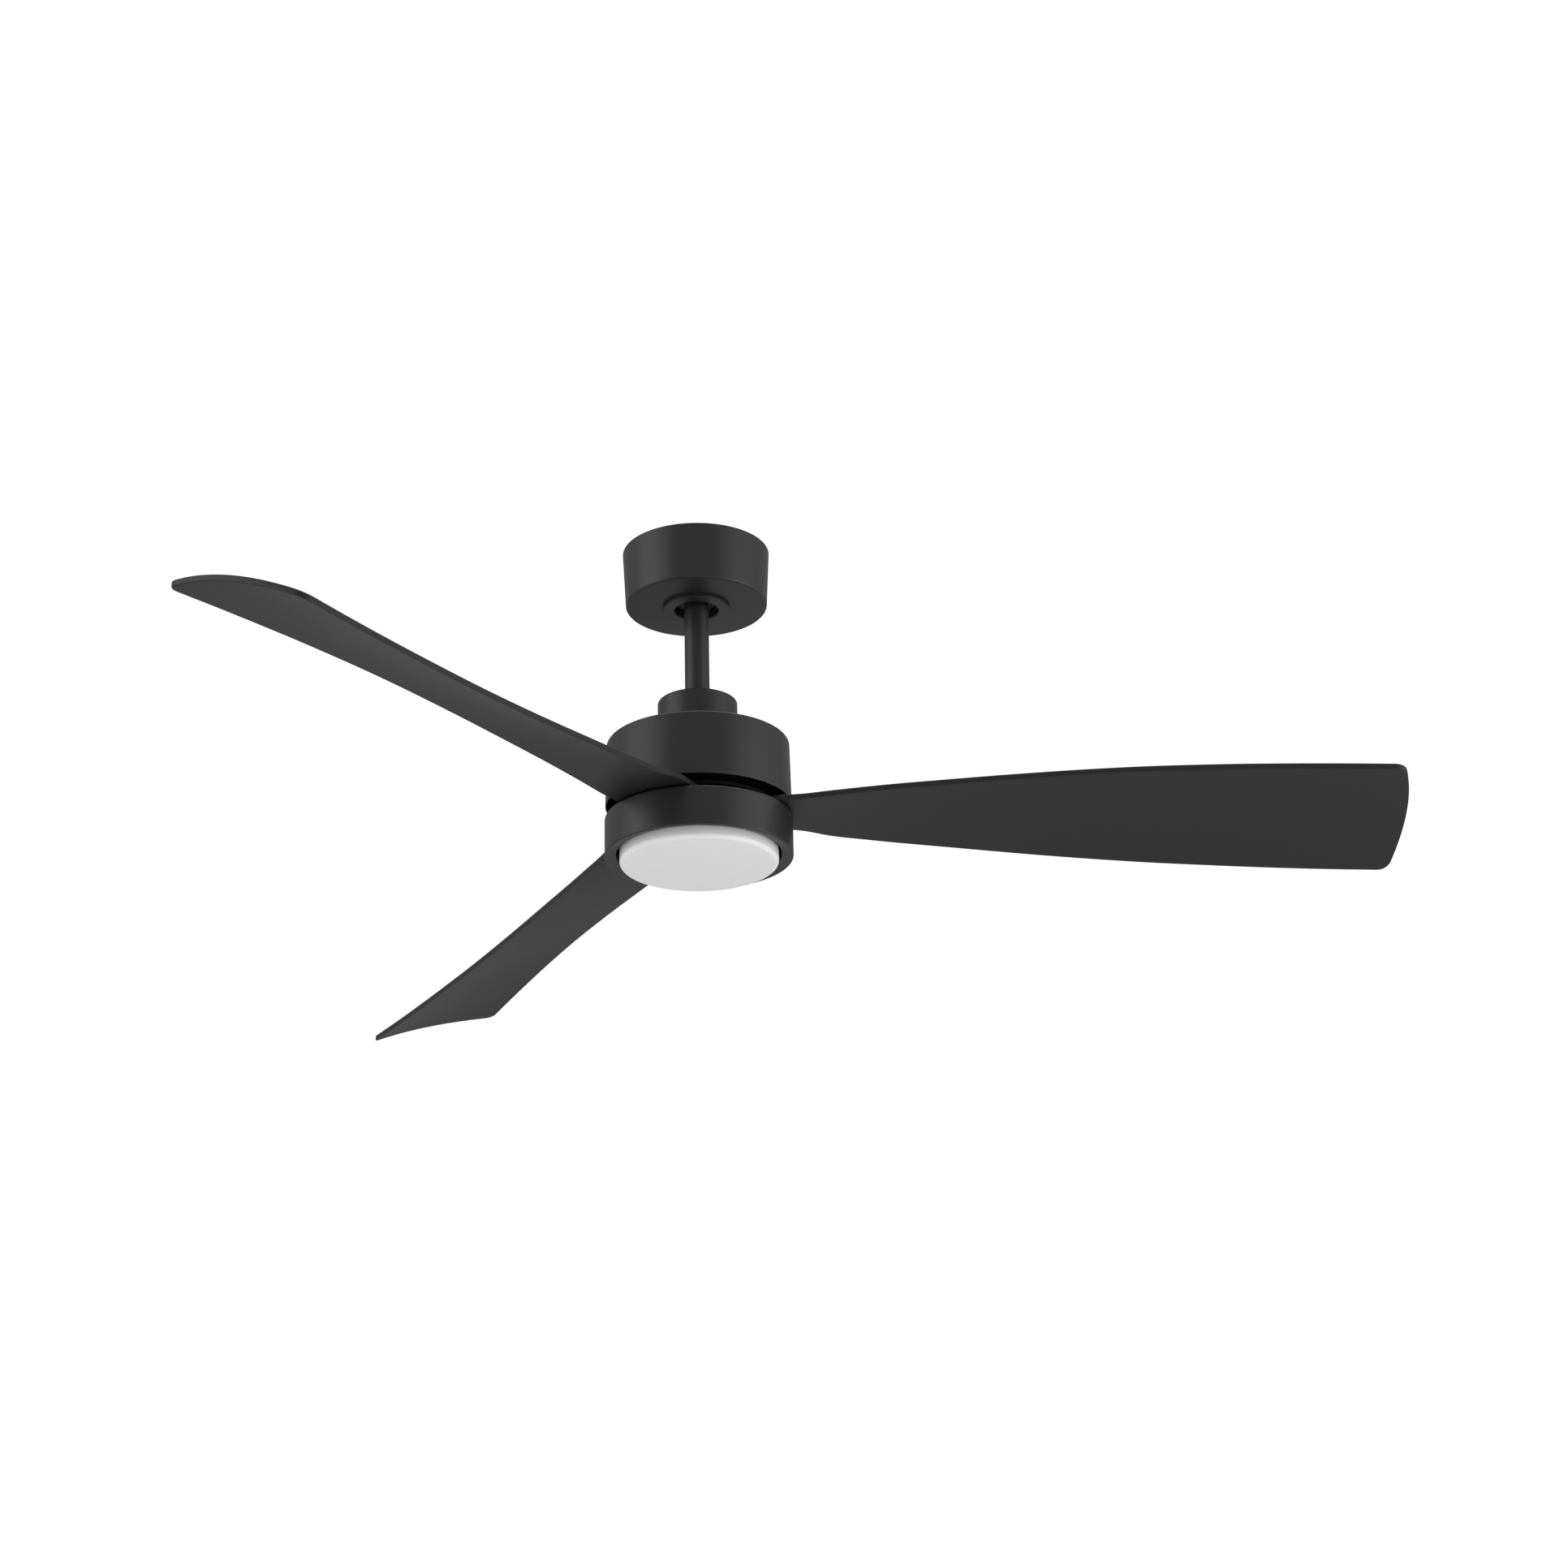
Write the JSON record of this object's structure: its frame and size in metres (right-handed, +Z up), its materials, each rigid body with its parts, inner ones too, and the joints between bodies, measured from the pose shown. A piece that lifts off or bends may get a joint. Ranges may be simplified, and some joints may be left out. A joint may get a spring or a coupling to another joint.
{
  "type": "ceiling fan with light",
  "caption": "Ceiling fan on a short downrod with wide pitched blades, a cylindrical motor housing and a round light kit with a shallow opal lens.",
  "frame": {"origin": "on the fan's axis in the ceiling plane, midway between the two ceiling-box screw slots of the mounting bracket", "axes": "+Z up along the fan's axis at rest, +X along the first blade, +Y along the line of the ceiling-box screws"},
  "size_m": [1.1239, 1.285, 0.3471],
  "materials": {
    "black_paint": "satin black powder coat",
    "black_steel": "black oxide",
    "blade_plastic": "matt black moulded plastic",
    "board_white": "white solder mask",
    "brass": "brass screw",
    "connector_plastic": "moulded plastic, orange",
    "copper_wire": "enamelled copper winding",
    "lamination": "stacked electrical steel",
    "led_yellow": "phosphor dome",
    "lens_opal": "opal white diffuser, smooth",
    "machined_steel": "machined steel",
    "magnet": "dark sintered ferrite",
    "module_plastic": "moulded plastic case",
    "motor_black": "black electrocoat on cast aluminium",
    "nylon": "black nylon",
    "tray_aluminium": "pressed aluminium, white inside",
    "wire_insulation": "flexible insulation",
    "zinc_steel": "zinc plated steel"
  },
  "bodies": {
    "ceiling": {"mounting_bracket": "black_steel", "canopy": "black_paint", "canopy_screw_cover": "black_paint", "canopy_screws": "black_steel", "earth_screw": "brass", "receiver_module": "module_plastic", "wire_connectors": "connector_plastic"},
    "hanger": {"hanger_ball": "nylon", "hanger_pin": "zinc_steel", "ball_set_screw": "black_steel", "downrod": "black_paint", "lead_wires": "wire_insulation", "coupling": "black_paint", "coupling_pin": "zinc_steel", "cotter_clip": "zinc_steel", "coupling_set_screws": "black_steel", "coupling_screws": "zinc_steel", "coupling_cover": "black_paint", "motor_housing": "black_paint", "motor_shaft": "machined_steel", "upper_bearing_inner": "machined_steel", "lower_bearing_inner": "machined_steel", "stator_core": "lamination", "stator_windings": "copper_wire", "light_ring": "black_paint", "fitter_plate": "zinc_steel", "light_ring_screws": "zinc_steel", "shaft_nut": "zinc_steel", "led_tray": "tray_aluminium", "tray_screws": "zinc_steel", "led_board": "board_white", "board_screws": "zinc_steel", "led_chips": "led_yellow", "led_driver": "module_plastic"},
    "rotor": {"rotor_shell_upper": "motor_black", "rotor_shell_lower": "motor_black", "upper_bearing_outer": "machined_steel", "upper_bearing_balls": "machined_steel", "lower_bearing_outer": "machined_steel", "lower_bearing_balls": "machined_steel", "rotor_magnets": "magnet", "rotor_screws": "zinc_steel", "blade_flange": "motor_black", "flange_screws": "zinc_steel", "blade_1": "blade_plastic", "blade_2": "blade_plastic", "blade_3": "blade_plastic", "blade_screws": "black_steel"},
    "lens": {"lens": "lens_opal"}
  },
  "joints": [
    {"name": "hanger_tilt", "type": "hinge", "parent": "ceiling", "child": "hanger", "pos_m": [0, 0, -0.034], "axis": [0, 1, 0], "range_deg": [-15, 15]},
    {"name": "rotor_spin", "type": "hinge", "parent": "hanger", "child": "rotor", "pos_m": [0, 0, -0.25], "axis": [0, 0, 1], "continuous": true},
    {"name": "lens_twist", "type": "hinge", "parent": "hanger", "child": "lens", "pos_m": [0, 0, -0.32], "axis": [0, 0, 1], "range_deg": [0, 25]}
  ]
}
